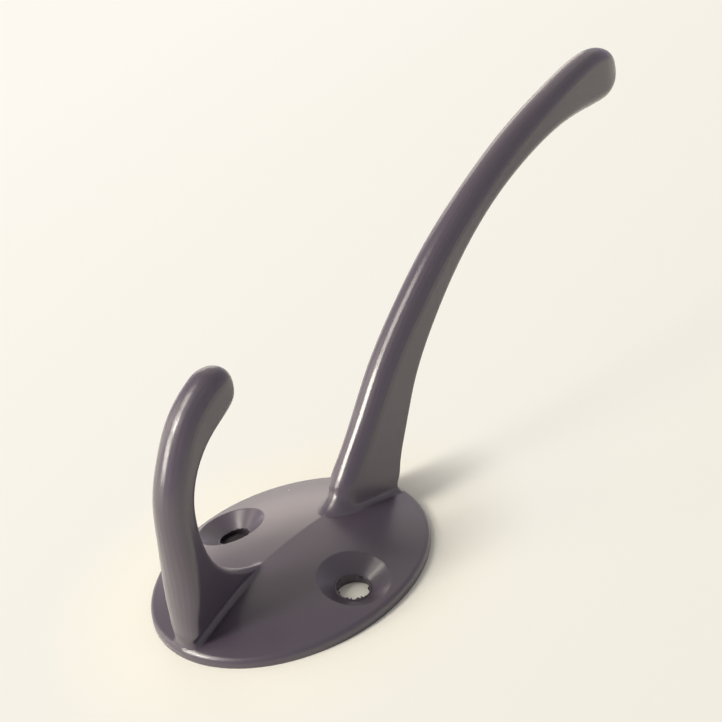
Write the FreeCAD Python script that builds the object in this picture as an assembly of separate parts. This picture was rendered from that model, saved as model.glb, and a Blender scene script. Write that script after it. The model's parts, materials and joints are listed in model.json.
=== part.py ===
"""Double robe hook: one die-cast piece with an oval wall plate, a long hat arm and a short coat arm.

The plate's flat back lies on Z = 0 and the arms stand out along +Z.
+Y runs up the wall, from the short arm to the long arm, and the part is the same on both sides of X = 0.
"""

import FreeCAD, Part
import math
import os

V = FreeCAD.Vector

# Oval plate, in millimetres and degrees
PLATE_LENGTH = 42.0
PLATE_WIDTH = 34.0
RIM_HEIGHT = 1.35
RIM_ROUND = 0.7
RIDGE_HEIGHT = 4.55

# Countersunk screw holes, one on each side of the ridge: spacing of the countersinks' middles on the plate's top
SEAT_SPACING = 22.4
SCREW_HOLE_DIAMETER = 4.7
COUNTERSINK_DIAMETER = 10.2
COUNTERSINK_ANGLE = 110.0

# Half angle of the ball's segment that a half of the plate is cut from
CROWN_SWING = 30

# How far the blank of the plate and the cutters of its holes reach past its top
CUTTER_REACH = 2.0

# Gap up to which the halves' faces count as touching, so that they also join where the ridge is nearly flat
JOIN_GAP = 0.001

# Height inside the plate at which the arms start
SOLE_HEIGHT = 0.3

# Foot of each arm on the plate, seen from above:
# y of its front and back, half width at both, length of the rounding at both
LONG_FOOT = (9.2, 20.1, 2.4, 2.9, 2.6, 0.7)
SHORT_FOOT = (-20.65, -5.7, 1.7, 0.55, 0.7, 1.6)

# Fillet round each foot at the front, the sides and the back:
# how high it climbs, how far it spreads, and how far the arm leans over it
LONG_FILLET = ((1.5, 0.4, 0.9), (1.1, 0.8, 0.4), (1.5, 0.0, 0.1))
SHORT_FILLET = ((0.9, 0.7, 0.15), (0.0, 0.7, 0.3), (0.0, 0.0, 0.4))

# Stations of each arm from the foot to the tip:
# y, z of its front and of its back, half width at both, length of the rounding at both
LONG_ARM = [
    (10.05, 6.85, 20.6, 3.4, 2.35, 2.95, 2.6, 0.8),
    (11.9, 9.25, 21.3, 5.2, 2.32, 2.95, 2.6, 0.9),
    (16.5, 14.4, 23.7, 9.8, 2.38, 2.85, 2.5, 1.1),
    (21.15, 19.95, 26.9, 15.3, 2.42, 2.75, 2.4, 1.3),
    (28.4, 26.5, 32.6, 21.8, 2.45, 2.6, 2.4, 1.4),
    (36.4, 32.2, 39.5, 27.6, 2.45, 2.5, 2.3, 1.5),
    (45.5, 37.0, 47.6, 32.6, 2.4, 2.5, 2.2, 1.5),
    (55.9, 41.3, 57.4, 36.2, 2.35, 2.5, 2.1, 1.6),
    (68.4, 44.7, 69.3, 38.1, 2.25, 2.45, 2.0, 1.7),
    (74.4, 45.85, 74.6, 37.95, 2.2, 2.4, 1.9, 1.8),
    (78.6, 46.1, 78.0, 37.8, 2.15, 2.4, 1.9, 1.8),
]
SHORT_ARM = [
    (-20.55, 3.0, -6.9, 4.95, 2.15, 0.65, 0.9, 1.4),
    (-20.5, 4.7, -9.1, 6.05, 2.5, 0.85, 1.2, 1.3),
    (-20.4, 7.3, -11.6, 8.0, 2.85, 1.2, 1.6, 1.3),
    (-20.2, 10.5, -13.5, 10.7, 3.0, 1.7, 1.9, 1.3),
    (-20.05, 13.8, -14.6, 13.8, 2.85, 2.1, 2.1, 1.3),
    (-19.85, 17.6, -15.1, 17.5, 2.6, 2.35, 2.2, 1.3),
    (-19.2, 22.2, -14.8, 21.0, 2.5, 2.4, 2.2, 1.4),
    (-17.1, 27.3, -13.0, 24.8, 2.5, 2.4, 2.2, 1.5),
    (-13.9, 31.9, -10.0, 27.5, 2.45, 2.4, 2.2, 1.7),
    (-9.7, 34.7, -6.9, 29.15, 2.45, 2.4, 2.2, 1.8),
]
LONG_TIP = 6.2
SHORT_TIP = 3.7

# Shares of a foot fillet's height at which its sections lie
FILLET_CLIMBS = (0.03, 0.15, 0.35, 0.65, 1.0)

# Turns in degrees at which the sections of a rounded tip lie, and how square it is from above: 2 is an ellipse
TIP_TURNS = (18, 36, 52, 66, 77, 84, 88)
TIP_SQUARENESS = 2.5

# Largest share of a section's depth that one rounded side takes
ROUND_SHARE = 0.45

# Steps between the points of a section: half of a rounded side, and a straight side
ROUND_STEPS = 6
ROW_STEPS = 4

# Faces side by side that each rounded side of an arm is laid in
STRIPS = 12


def crown():
    """Radius of the sphere that each half of the plate's top is part of, and how far past the ridge and how
    high its centre lies. It passes through the ridge's middle, its ends and the outermost point of the rim."""
    half_width = PLATE_WIDTH / 2
    drop = RIDGE_HEIGHT - RIM_HEIGHT
    radius = ((PLATE_LENGTH / 2) ** 2 + drop ** 2) / (2 * drop)
    chord = math.hypot(half_width, drop)
    depth = math.sqrt(radius ** 2 - (chord / 2) ** 2)
    past_ridge = depth * drop / chord - half_width / 2
    height = RIDGE_HEIGHT - drop / 2 - depth * half_width / chord
    return radius, past_ridge, height


def top_height(x, y):
    """Height of the plate's top above its back."""
    radius, past_ridge, height = crown()
    return height + math.sqrt(radius ** 2 - (abs(x) + past_ridge) ** 2 - y ** 2)


def crowned_half(side):
    """Segment of a ball whose outside is the top of one half of the plate."""
    radius, past_ridge, height = crown()
    centre = V(-side * past_ridge, 0, height)
    tilt = math.radians(CROWN_SWING)
    ends = [centre + V(0, turn * radius * math.sin(tilt), radius * math.cos(tilt)) for turn in (-1, 1)]
    crest = Part.Arc(ends[0], centre + V(0, 0, radius), ends[1])
    fan = Part.Face(Part.Wire([crest.toShape()] + Part.makePolygon([ends[1], centre, ends[0]]).Edges))
    fan.rotate(centre, V(0, 1, 0), -CROWN_SWING)
    return fan.revolve(centre, V(0, 1, 0), 2 * CROWN_SWING)


def plate():
    """Oval plate with a crowned top whose two halves meet in a soft ridge."""
    oval = Part.Ellipse(V(0, PLATE_LENGTH / 2, 0), V(PLATE_WIDTH / 2, 0, 0), V(0, 0, 0))
    chord = Part.makeLine(V(0, PLATE_LENGTH / 2, 0), V(0, -PLATE_LENGTH / 2, 0))
    arc = Part.Arc(oval, math.pi, 2 * math.pi).toShape()
    half = Part.Face(Part.Wire([arc, chord])).extrude(V(0, 0, RIDGE_HEIGHT + CUTTER_REACH))
    side = math.copysign(1, half.CenterOfMass.x)
    half = half.common(crowned_half(side))
    rim = [edge for edge in half.Edges if edge.CenterOfMass.z > RIM_ROUND and edge.BoundBox.XLength > PLATE_WIDTH / 4]
    half = half.makeFillet(RIM_ROUND, rim)
    return half.fuse([half.mirror(V(0, 0, 0), V(1, 0, 0))], JOIN_GAP).removeSplitter()


def outline(front, back, half_front, half_back, front_round, back_round):
    """Rows of points round a section: front, near side, back, far side, each point as (along, across).

    Each end is part of an ellipse that runs smoothly into the straight sides.
    """
    steps = ROUND_STEPS
    lean = (half_front - half_back) / (back - front - front_round - back_round)
    front_turn = math.pi / 2 + math.atan(lean * front_round / half_front)
    back_turn = math.pi / 2 - math.atan(lean * back_round / half_back)
    front_row = []
    back_row = []
    for i in range(-steps, steps + 1):
        turn = front_turn * i / steps
        front_row.append((front + front_round * (1 - math.cos(turn)), half_front * math.sin(turn)))
        turn = back_turn * i / steps
        back_row.append((back - back_round * (1 - math.cos(turn)), -half_back * math.sin(turn)))
    near = row_between(front_row[-1], back_row[0])
    far = row_between(back_row[-1], front_row[0])
    return [front_row, near, back_row, far]


def row_between(start, end):
    """Evenly spaced points from start to end."""
    return [tuple(a + (b - a) * i / ROW_STEPS for a, b in zip(start, end)) for i in range(ROW_STEPS + 1)]


def curve_through(points, stops):
    """Smooth curve that passes each point at its stop."""
    curve = Part.BSplineCurve()
    curve.interpolate(Points=points, Parameters=stops)
    return curve


def closed_wire(rows):
    """Wire of smooth curves through the rows of points of one section."""
    return Part.Wire([curve_through(row, even_stops(row)).toShape() for row in rows])


def even_stops(row):
    """Stops one apart, one for each point."""
    return [float(i) for i in range(len(row))]


def skin(grid, stops):
    """Smooth surface through a grid of points, one row for each section of an arm, as faces side by side.

    A rounded side is laid in strips along the arm and a straight one is a single face.
    """
    columns = [curve_through(list(column), stops) for column in zip(*grid)]
    turns = even_stops(columns)
    rounds = [curve_through(list(poles), turns) for poles in zip(*[column.getPoles() for column in columns])]
    surface = Part.BSplineSurface()
    surface.buildFromPolesMultsKnots(
        [curve.getPoles() for curve in rounds],
        columns[0].getMultiplicities(), rounds[0].getMultiplicities(),
        columns[0].getKnots(), rounds[0].getKnots(),
        False, False, columns[0].Degree, rounds[0].Degree)
    strips = STRIPS if len(columns) > ROW_STEPS + 1 else 1
    start, end, low, high = surface.bounds()
    faces = []
    for i in range(strips):
        strip = surface.copy()
        strip.segment(start, end, low + (high - low) * i / strips, low + (high - low) * (i + 1) / strips)
        faces.append(strip.toShape())
    return faces


def blend(value, front_value, side_value, back_value):
    """Smooth change from the front value through the side value to the back value, value running from 0 to 1."""
    if value < 0.5:
        share = (1 - 2 * value) ** 2
        return side_value + (front_value - side_value) * share
    share = (2 * value - 1) ** 2
    return side_value + (back_value - side_value) * share


def foot_rows(foot, fillet, climb):
    """Section of an arm that follows the plate's top. climb runs from 0 on the plate to 1 at the fillet's top."""
    front, back, half_front, half_back, front_round, back_round = foot
    climbs, spreads, leans = fillet
    arc = 1 - math.sqrt(1 - (1 - climb) ** 2)
    ahead, beside, behind = [spread * arc + lean * (1 - climb) for spread, lean in zip(spreads, leans)]
    rows = outline(front - ahead, back + behind, half_front + beside, half_back + beside,
                   front_round + ahead, back_round + behind / 2)
    lifted = []
    for row in rows:
        places = [min(max((y - front) / (back - front), 0), 1) for y, x in row]
        lifted.append([V(x, y, top_height(x, y) + climb * blend(place, *climbs)) for place, (y, x) in zip(places, row)])
    return lifted


def station_rows(station, shrink=1.0, narrow=1.0, shift=V(0, 0, 0)):
    """Flat section of an arm between its front point and its back point."""
    front_y, front_z, back_y, back_z, half_front, half_back, front_round, back_round = station
    front = V(0, front_y, front_z)
    back = V(0, back_y, back_z)
    middle = (front + back) / 2 + shift
    depth = (back - front).Length * shrink
    inward = (back - front).normalize()
    limit = depth * ROUND_SHARE
    rows = outline(-depth / 2, depth / 2, half_front * narrow, half_back * narrow,
                   min(front_round, limit), min(back_round, limit))
    return [[middle + inward * u + V(x, 0, 0) for u, x in row] for row in rows]


def tip_rows(station, reach):
    """Sections that close an arm with a rounded tip beyond its last station."""
    across = V(0, station[2] - station[0], station[3] - station[1])
    ahead = V(0, -across.z, across.y).normalize()
    sections = []
    for turn in TIP_TURNS:
        go = math.sin(math.radians(turn))
        shrink = math.cos(math.radians(turn))
        narrow = math.sqrt(1 - go ** TIP_SQUARENESS)
        sections.append(station_rows(station, shrink, narrow, ahead * (reach * go)))
    return sections


def stops_along(sections):
    """Stop of each section: the mean way travelled by its points since the first section."""
    stops = [0.0]
    for before, after in zip(sections, sections[1:]):
        steps = [(q - p).Length for row, next_row in zip(before, after) for p, q in zip(row, next_row)]
        stops.append(stops[-1] + sum(steps) / len(steps))
    return stops


def arm(foot, fillet, stations, tip_reach):
    """Solid arm from inside the plate to its rounded tip."""
    sections = [foot_rows(foot, fillet, climb) for climb in FILLET_CLIMBS]
    sections += [station_rows(station) for station in stations]
    sections += tip_rows(stations[-1], tip_reach)
    stops = stops_along(sections)
    sole = closed_wire([[V(x, y, SOLE_HEIGHT) for y, x in row] for row in outline(*foot)])
    faces = [face for grid in zip(*sections) for face in skin(grid, stops)]
    faces += Part.makeLoft([sole, closed_wire(sections[0])], False, True).Faces
    faces += [Part.Face(sole), Part.Face(closed_wire(sections[-1]))]
    shell = Part.Shell(faces)
    shell.sewShape()
    return Part.Solid(shell)


def screw_hole(side):
    """Cutter for one hole: an upright bore, and a countersink that stands square to the plate's top."""
    radius, past_ridge, height = crown()
    x = SEAT_SPACING / 2
    seat = V(side * x, 0, top_height(x, 0))
    outward = (seat - V(-side * past_ridge, 0, height)).normalize()
    flare = math.tan(math.radians(COUNTERSINK_ANGLE / 2))
    depth = (COUNTERSINK_DIAMETER - SCREW_HOLE_DIAMETER) / 2 / flare
    neck = seat - outward * depth
    cone = Part.makeCone(SCREW_HOLE_DIAMETER / 2, COUNTERSINK_DIAMETER / 2 + CUTTER_REACH * flare,
                         depth + CUTTER_REACH, neck, outward)
    bore = Part.makeCylinder(SCREW_HOLE_DIAMETER / 2, neck.z + CUTTER_REACH, V(neck.x, 0, -CUTTER_REACH / 2))
    return bore.fuse(cone)


def hook_casting():
    """The whole hook."""
    long_arm = arm(LONG_FOOT, LONG_FILLET, LONG_ARM, LONG_TIP)
    short_arm = arm(SHORT_FOOT, SHORT_FILLET, SHORT_ARM, SHORT_TIP)
    body = plate()
    for side in (1, -1):
        body = body.cut(screw_hole(side))
    body = body.fuse([long_arm, short_arm])
    return body


os.makedirs("parts", exist_ok=True)
hook_casting().exportStep("parts/hook_casting.step")
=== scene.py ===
"""Look of the double robe hook: satin black lacquer on the casting, on pale paper beside a tall window."""

import bmesh
import bpy
import json
import math
import random
from mathutils import Matrix, Vector


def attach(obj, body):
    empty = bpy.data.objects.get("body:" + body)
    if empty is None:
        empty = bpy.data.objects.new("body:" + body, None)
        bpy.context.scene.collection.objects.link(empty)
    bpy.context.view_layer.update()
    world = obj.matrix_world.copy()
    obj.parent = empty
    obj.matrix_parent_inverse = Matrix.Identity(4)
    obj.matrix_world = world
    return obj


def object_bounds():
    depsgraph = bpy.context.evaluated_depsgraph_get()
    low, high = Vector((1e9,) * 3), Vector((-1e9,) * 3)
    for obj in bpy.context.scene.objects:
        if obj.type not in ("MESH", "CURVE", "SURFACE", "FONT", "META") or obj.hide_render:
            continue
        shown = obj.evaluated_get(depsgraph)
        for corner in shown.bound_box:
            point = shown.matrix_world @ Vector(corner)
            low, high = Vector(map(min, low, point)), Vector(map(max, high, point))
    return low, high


# Lengths in metres
MM = 0.001

# Black lacquer and the dust in it, as sRGB colours
LACQUER_COLOUR = "#443b49"
DUST_COLOUR = "#a8a3a0"

# Roughness of the black, which drifts between two values, and of the smoother clear lacquer over it.
# Both have the index of refraction of paint.
PAINT_IOR = 1.5
BLACK_ROUGHNESS = (0.33, 0.43)
LACQUER_ROUGHNESS = 0.24

# Real sizes of the lacquer's patterns: orange peel, sags and clouds of roughness, and how far it rounds edges
ORANGE_PEEL = 0.9 * MM
ORANGE_PEEL_HEIGHT = 0.0025 * MM
ORANGE_PEEL_DETAIL = 2.0
SAG_SIZE = 7 * MM
SAG_HEIGHT = 0.02 * MM
SAG_DETAIL = 1.0
CLOUD_SIZE = 18 * MM
CLOUD_DETAIL = 3.0
EDGE_ROUND = 0.35 * MM
EDGE_SAMPLES = 6

# Grains of dust: one may lie in each cell this wide, and only this share of the cells has one
SPECK_SPACING = 5.5 * MM
SPECK_RADIUS = 0.14 * MM
SPECK_SHARE = 0.35

# Height of the upright wall of a screw hole at its outer and its inner side, where the burr lies
NECK_OUTER = 0.56 * MM
NECK_INNER = 1.64 * MM

# Burr round the necks: radius of its bead, reach of its longest point, how rare long points are,
# steps round and across it, and seed of its draws
BURR_RADIUS = 0.11 * MM
BURR_RAGGED = 0.45 * MM
BURR_RARITY = 4
BURR_STEPS = 56
BURR_SIDES = 8
BURR_SEED = 7

# Paper and light, as sRGB colours
PAPER_COLOUR = "#e8e7df"
# Painted shade on the paper under the left screw hole
PAINTED_SHADE_COLOUR = "#2c262c"
# Backdrop with painted light: brighter on the left of the hook, dimmer on its right
BRIGHT_SIDE_COLOUR = "#fdfaf3"
DIM_SIDE_COLOUR = "#f1ece0"
WINDOW_COLOUR = "#fff8ec"
SUNLIT_WALL_COLOUR = "#fff0dd"
WALL_COLOUR = "#efe8f8"
CEILING_COLOUR = "#fffcf6"

# Sheet of matt paper
PAPER_SIZE = 6.0
PAPER_ROUGHNESS = 0.8

# The paper shows the hook's full shadow up to FADE_START and only what FADE_SHARE leaves of it from FADE_END.
# Both are distances from the plate's middle, as shares of its half length and half width, so 1 is its edge.
FADE_START = 1.0
FADE_END = 1.9
FADE_SHARE = 0.88

# Painted light on the paper's backdrop: it gets dimmer from the left to the right of the hook, between these
# two places along X
BRIGHT_SIDE = -0.20
DIM_SIDE = 0.08

# Radius of the dark patch of paper under the left screw hole, which looks black in the photograph. The patch
# is painted shade.
PAINTED_SHADE_RADIUS = 4 * MM

# Light from the room's walls and from its ceiling. They mix between two heights in a ball of directions.
WALL_STRENGTH = 0.64
CEILING_STRENGTH = 0.42
WALL_TOP = 0.10
CEILING_EDGE = 0.60

# Lamps face the hook's middle from this far away
LAMP_AIM = Vector((0, 0.02, 0.02))
LAMP_DISTANCE = 1.0

# Panes of the tall window, from its sill up, then the pale walls that it lights:
# azimuth from +X towards +Y and elevation in degrees, width and height, brightness
WINDOW_PANES = (
    (240, 14, 0.20, 0.26, 17.0),
    (245, 37, 0.22, 0.30, 32.0),
    (228, 56, 0.36, 0.24, 9.0),
)
PALE_WALLS = (
    (143, 14, 0.60, 0.30, 1.6),
    (125, 42, 0.90, 0.80, 0.3),
    (203, 17, 0.40, 0.60, 1.6),
)

# Camera in the row frame, worked out from the oval plate and the two arms in the photograph
CAMERA_PLACE = Vector((0.12250268, -0.1083459, 0.12142905))
CAMERA_RIGHT = Vector((0.7625981, 0.6338667, -0.1290624))
CAMERA_UP = Vector((-0.2290648, 0.4512044, 0.8625218))
CAMERA_LENS = 74.792
CAMERA_NEAR = 1 * MM
SENSOR_WIDTH = 36.0


def linear(hex_colour):
    """Linear RGBA of an sRGB hex colour."""
    parts = [int(hex_colour[i:i + 2], 16) / 255 for i in (1, 3, 5)]
    return [p / 12.92 if p <= 0.04045 else ((p + 0.055) / 1.055) ** 2.4 for p in parts] + [1.0]


def add_node(tree, kind, settings=None, links=None):
    """Adds a node, sets its properties and sockets, and links the given outputs to its sockets."""
    node = tree.nodes.new(kind)
    for name, value in (settings or {}).items():
        if isinstance(name, str) and hasattr(node, name):
            setattr(node, name, value)
        else:
            node.inputs[name].default_value = value
    for name, source in (links or {}).items():
        tree.links.new(source, node.inputs[name])
    return node


def add_colour_mix(tree, first, second, share):
    """Output of a node that mixes two sRGB colours."""
    mix = add_node(tree, "ShaderNodeMix", {"data_type": "RGBA", 6: linear(first), 7: linear(second)},
                   {"Factor": share})
    return mix.outputs[2]


def new_material(name):
    """Empty material and its tree."""
    material = bpy.data.materials.new(name)
    material.use_nodes = True
    material.node_tree.nodes.clear()
    return material, material.node_tree


def lacquered_surface(tree, place):
    """Normal of the lacquer: edges rounded by its thickness, soft sags, and fine orange peel on top."""
    edges = add_node(tree, "ShaderNodeBevel", {"samples": EDGE_SAMPLES, "Radius": EDGE_ROUND})
    sag = add_node(tree, "ShaderNodeTexNoise", {"Scale": 1 / SAG_SIZE, "Detail": SAG_DETAIL},
                   {"Vector": place})
    flow = add_node(tree, "ShaderNodeBump", {"Strength": 1.0, "Distance": SAG_HEIGHT},
                    {"Height": sag.outputs["Fac"], "Normal": edges.outputs["Normal"]})
    peel = add_node(tree, "ShaderNodeTexNoise", {"Scale": 1 / ORANGE_PEEL, "Detail": ORANGE_PEEL_DETAIL},
                    {"Vector": place})
    bump = add_node(tree, "ShaderNodeBump", {"Strength": 1.0, "Distance": ORANGE_PEEL_HEIGHT},
                    {"Height": peel.outputs["Fac"], "Normal": flow.outputs["Normal"]})
    return bump.outputs["Normal"]


def dust_grains(tree, place):
    """1 where a grain of dust dried in the lacquer, and 0 elsewhere."""
    cells = add_node(tree, "ShaderNodeTexVoronoi", {"Scale": 1 / SPECK_SPACING}, {"Vector": place})
    grain = add_node(tree, "ShaderNodeMath", {"operation": "LESS_THAN", 1: SPECK_RADIUS / SPECK_SPACING},
                     {0: cells.outputs["Distance"]})
    pick = add_node(tree, "ShaderNodeSeparateColor", links={"Color": cells.outputs["Color"]})
    chosen = add_node(tree, "ShaderNodeMath", {"operation": "LESS_THAN", 1: SPECK_SHARE},
                      {0: pick.outputs["Red"]})
    speck = add_node(tree, "ShaderNodeMath", {"operation": "MULTIPLY"},
                     {0: grain.outputs["Value"], 1: chosen.outputs["Value"]})
    return speck.outputs["Value"]


def satin_black_lacquer():
    """Die-cast zinc sprayed black and finished with a satin lacquer.

    The eye sees a charcoal body with soft highlights, which waver a little where the lacquer has flowed, and
    a few grains of dust that dried in it.
    """
    material, tree = new_material("satin black lacquer on die-cast zinc")
    place = add_node(tree, "ShaderNodeTexCoord").outputs["Object"]
    normal = lacquered_surface(tree, place)
    cloud = add_node(tree, "ShaderNodeTexNoise", {"Scale": 1 / CLOUD_SIZE, "Detail": CLOUD_DETAIL},
                     {"Vector": place})
    rough = add_node(tree, "ShaderNodeMapRange", {"To Min": BLACK_ROUGHNESS[0], "To Max": BLACK_ROUGHNESS[1]},
                     {"Value": cloud.outputs["Fac"]})
    colour = add_colour_mix(tree, LACQUER_COLOUR, DUST_COLOUR, dust_grains(tree, place))
    shader = add_node(tree, "ShaderNodeBsdfPrincipled",
                      {"IOR": PAINT_IOR, "Coat Weight": 1.0, "Coat Roughness": LACQUER_ROUGHNESS},
                      {"Base Color": colour, "Roughness": rough.outputs["Result"],
                       "Normal": normal, "Coat Normal": normal})
    add_node(tree, "ShaderNodeOutputMaterial", links={"Surface": shader.outputs["BSDF"]})
    return material


def shadow_fade(tree, place, half_width, half_length):
    """Share of backdrop, with its painted light, in what a camera sees of the paper, growing with the
    distance from the plate.
    """
    spread = add_node(tree, "ShaderNodeVectorMath",
                      {"operation": "MULTIPLY", 1: (1 / half_width, 1 / half_length, 0)}, {0: place})
    distance = add_node(tree, "ShaderNodeVectorMath", {"operation": "LENGTH"}, {0: spread.outputs["Vector"]})
    fade = add_node(tree, "ShaderNodeMapRange",
                    {"interpolation_type": "SMOOTHSTEP", "From Min": FADE_START, "From Max": FADE_END,
                     "To Max": FADE_SHARE}, {"Value": distance.outputs["Value"]})
    seen = add_node(tree, "ShaderNodeLightPath").outputs["Is Camera Ray"]
    share = add_node(tree, "ShaderNodeMath", {"operation": "MULTIPLY"}, {0: fade.outputs["Result"], 1: seen})
    return share.outputs["Value"]


def backdrop_colour(tree, place):
    """Colour of the backdrop, with painted light that gets dimmer along X."""
    axes = add_node(tree, "ShaderNodeSeparateXYZ", links={"Vector": place})
    across = add_node(tree, "ShaderNodeMapRange", {"From Min": BRIGHT_SIDE, "From Max": DIM_SIDE},
                      {"Value": axes.outputs["X"]})
    return add_colour_mix(tree, BRIGHT_SIDE_COLOUR, DIM_SIDE_COLOUR, across.outputs["Result"])


def paper_colour(tree, place, left_hole):
    """Colour of the paper, with painted shade under the left screw hole."""
    under = add_node(tree, "ShaderNodeVectorMath", {"operation": "DISTANCE", 1: left_hole}, {0: place})
    painted_shade = add_node(tree, "ShaderNodeMath", {"operation": "LESS_THAN", 1: PAINTED_SHADE_RADIUS},
                      {0: under.outputs["Value"]})
    return add_colour_mix(tree, PAPER_COLOUR, PAINTED_SHADE_COLOUR, painted_shade.outputs["Value"])


def matt_paper(half_width, half_length, left_hole):
    """Matt white paper: the hook's shadow lies on it softly, with painted shade under the left screw hole,
    and further away it is a backdrop with painted light that gets dimmer along X.
    """
    material, tree = new_material("matt white paper")
    place = add_node(tree, "ShaderNodeTexCoord").outputs["Object"]
    paper = add_node(tree, "ShaderNodeBsdfPrincipled", {"Roughness": PAPER_ROUGHNESS},
                     {"Base Color": paper_colour(tree, place, left_hole)})
    backdrop = add_node(tree, "ShaderNodeEmission", {"Strength": 1.0},
                        {"Color": backdrop_colour(tree, place)})
    mixed = add_node(tree, "ShaderNodeMixShader",
                     links={0: shadow_fade(tree, place, half_width, half_length),
                            1: paper.outputs["BSDF"], 2: backdrop.outputs["Emission"]})
    add_node(tree, "ShaderNodeOutputMaterial", links={"Surface": mixed.outputs["Shader"]})
    return material


def add_paper(material):
    """Sheet of paper that the plate's back rests on."""
    bpy.ops.mesh.primitive_plane_add(size=PAPER_SIZE, location=(0, 0, 0))
    paper = bpy.context.object
    paper.name = "paper"
    paper.data.materials.append(material)


def add_burr(name, x, radius, material, chance):
    """Ragged bead of metal that casting left round the neck of a screw hole, under the lacquer."""
    bpy.ops.object.select_all(action="DESELECT")
    middle = Vector((x, 0, (NECK_OUTER + NECK_INNER) / 2))
    slope = math.copysign(math.atan((NECK_INNER - NECK_OUTER) / (2 * radius)), x)
    bpy.ops.mesh.primitive_torus_add(major_radius=radius, minor_radius=BURR_RADIUS, major_segments=BURR_STEPS,
                                     minor_segments=BURR_SIDES, location=middle, rotation=(0, slope, 0))
    burr = bpy.context.object
    burr.name = name
    bpy.ops.object.transform_apply(location=True, rotation=True, scale=True)
    bpy.ops.object.mode_set(mode="EDIT")
    bpy.ops.mesh.select_mode(type="VERT")
    bpy.ops.mesh.select_all(action="DESELECT")
    for point in bmesh.from_edit_mesh(burr.data).verts:
        inward = middle - point.co
        if inward.length < radius:
            point.select_set(True)
            reach = chance.random() ** BURR_RARITY * BURR_RAGGED
            bpy.ops.transform.translate(value=inward.normalized() * reach)
            point.select_set(False)
    bpy.ops.object.mode_set(mode="OBJECT")
    bpy.ops.object.shade_smooth()
    burr.data.materials.append(material)
    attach(burr, "root")


def add_lamp(name, colour, azimuth, elevation, width, height, brightness):
    """Soft rectangular light that faces the hook."""
    turn = math.radians(azimuth)
    rise = math.radians(elevation)
    toward = Vector((math.cos(turn) * math.cos(rise), math.sin(turn) * math.cos(rise), math.sin(rise)))
    lamp = bpy.data.lights.new(name, "AREA")
    lamp.shape = "RECTANGLE"
    lamp.size = width
    lamp.size_y = height
    lamp.energy = brightness * math.pi * width * height
    lamp.color = linear(colour)[:3]
    holder = bpy.data.objects.new(name, lamp)
    holder.location = LAMP_AIM + toward * LAMP_DISTANCE
    holder.rotation_euler = toward.to_track_quat("Z", "Y").to_euler()
    bpy.context.collection.objects.link(holder)


def add_background(tree, colour, strength):
    """Output of a node for light from all round."""
    background = add_node(tree, "ShaderNodeBackground", {"Color": linear(colour), "Strength": strength})
    return background.outputs["Background"]


def add_room():
    """Light from the room's walls and ceiling, seen itself as the pale backdrop."""
    world = bpy.data.worlds.new("room")
    world.use_nodes = True
    bpy.context.scene.world = world
    tree = world.node_tree
    tree.nodes.clear()
    place = add_node(tree, "ShaderNodeTexCoord").outputs["Generated"]
    axes = add_node(tree, "ShaderNodeSeparateXYZ", links={"Vector": place})
    height = add_node(tree, "ShaderNodeMapRange",
                      {"interpolation_type": "SMOOTHSTEP", "From Min": WALL_TOP, "From Max": CEILING_EDGE},
                      {"Value": axes.outputs["Z"]})
    room = add_node(tree, "ShaderNodeMixShader",
                    links={0: height.outputs["Result"],
                           1: add_background(tree, WALL_COLOUR, WALL_STRENGTH),
                           2: add_background(tree, CEILING_COLOUR, CEILING_STRENGTH)})
    seen = add_node(tree, "ShaderNodeLightPath").outputs["Is Camera Ray"]
    mixed = add_node(tree, "ShaderNodeMixShader",
                     links={0: seen, 1: room.outputs["Shader"],
                            2: add_background(tree, BRIGHT_SIDE_COLOUR, 1.0)})
    add_node(tree, "ShaderNodeOutputWorld", links={"Surface": mixed.outputs["Shader"]})


def add_camera():
    """Camera at the photograph's place."""
    camera = bpy.data.cameras.new("camera")
    camera.sensor_width = SENSOR_WIDTH
    camera.lens = CAMERA_LENS
    camera.clip_start = CAMERA_NEAR
    holder = bpy.data.objects.new("camera", camera)
    back = CAMERA_RIGHT.cross(CAMERA_UP)
    turn = Matrix((CAMERA_RIGHT, CAMERA_UP, back)).transposed()
    holder.matrix_world = Matrix.Translation(CAMERA_PLACE) @ turn.to_4x4()
    bpy.context.collection.objects.link(holder)
    bpy.context.scene.camera = holder


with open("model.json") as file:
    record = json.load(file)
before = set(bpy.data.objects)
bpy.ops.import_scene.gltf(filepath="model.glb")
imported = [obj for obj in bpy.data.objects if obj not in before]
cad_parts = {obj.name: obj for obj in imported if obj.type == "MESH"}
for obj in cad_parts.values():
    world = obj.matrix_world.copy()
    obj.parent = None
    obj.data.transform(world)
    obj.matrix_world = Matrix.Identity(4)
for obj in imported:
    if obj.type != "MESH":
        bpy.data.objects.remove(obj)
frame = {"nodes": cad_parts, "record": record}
cad_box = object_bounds()
bpy.ops.object.select_all(action="DESELECT")
bpy.context.scene.view_settings.view_transform = "Standard"

lacquer = satin_black_lacquer()
hook = frame["nodes"]["hook_casting"]
hook.data.materials.clear()
hook.data.materials.append(lacquer)
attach(hook, "root")

bores = {mount["name"]: mount for mount in frame["record"]["mounts"] if mount["kind"] == "bore"}
chance = random.Random(BURR_SEED)
for side in ("right", "left"):
    bore = bores["screw_hole_" + side]
    add_burr(side + "_burr", bore["pos_m"][0], bore["dims"]["r_mm"] * MM, lacquer, chance)

half_width = cad_box[1][0]
half_length = -cad_box[0][1]
left_hole = (bores["screw_hole_left"]["pos_m"][0], 0, 0)
add_paper(matt_paper(half_width, half_length, left_hole))
add_room()
for number, pane in enumerate(WINDOW_PANES):
    add_lamp("window_%d" % number, WINDOW_COLOUR, *pane)
for number, wall in enumerate(PALE_WALLS):
    add_lamp("wall_%d" % number, SUNLIT_WALL_COLOUR, *wall)
add_camera()
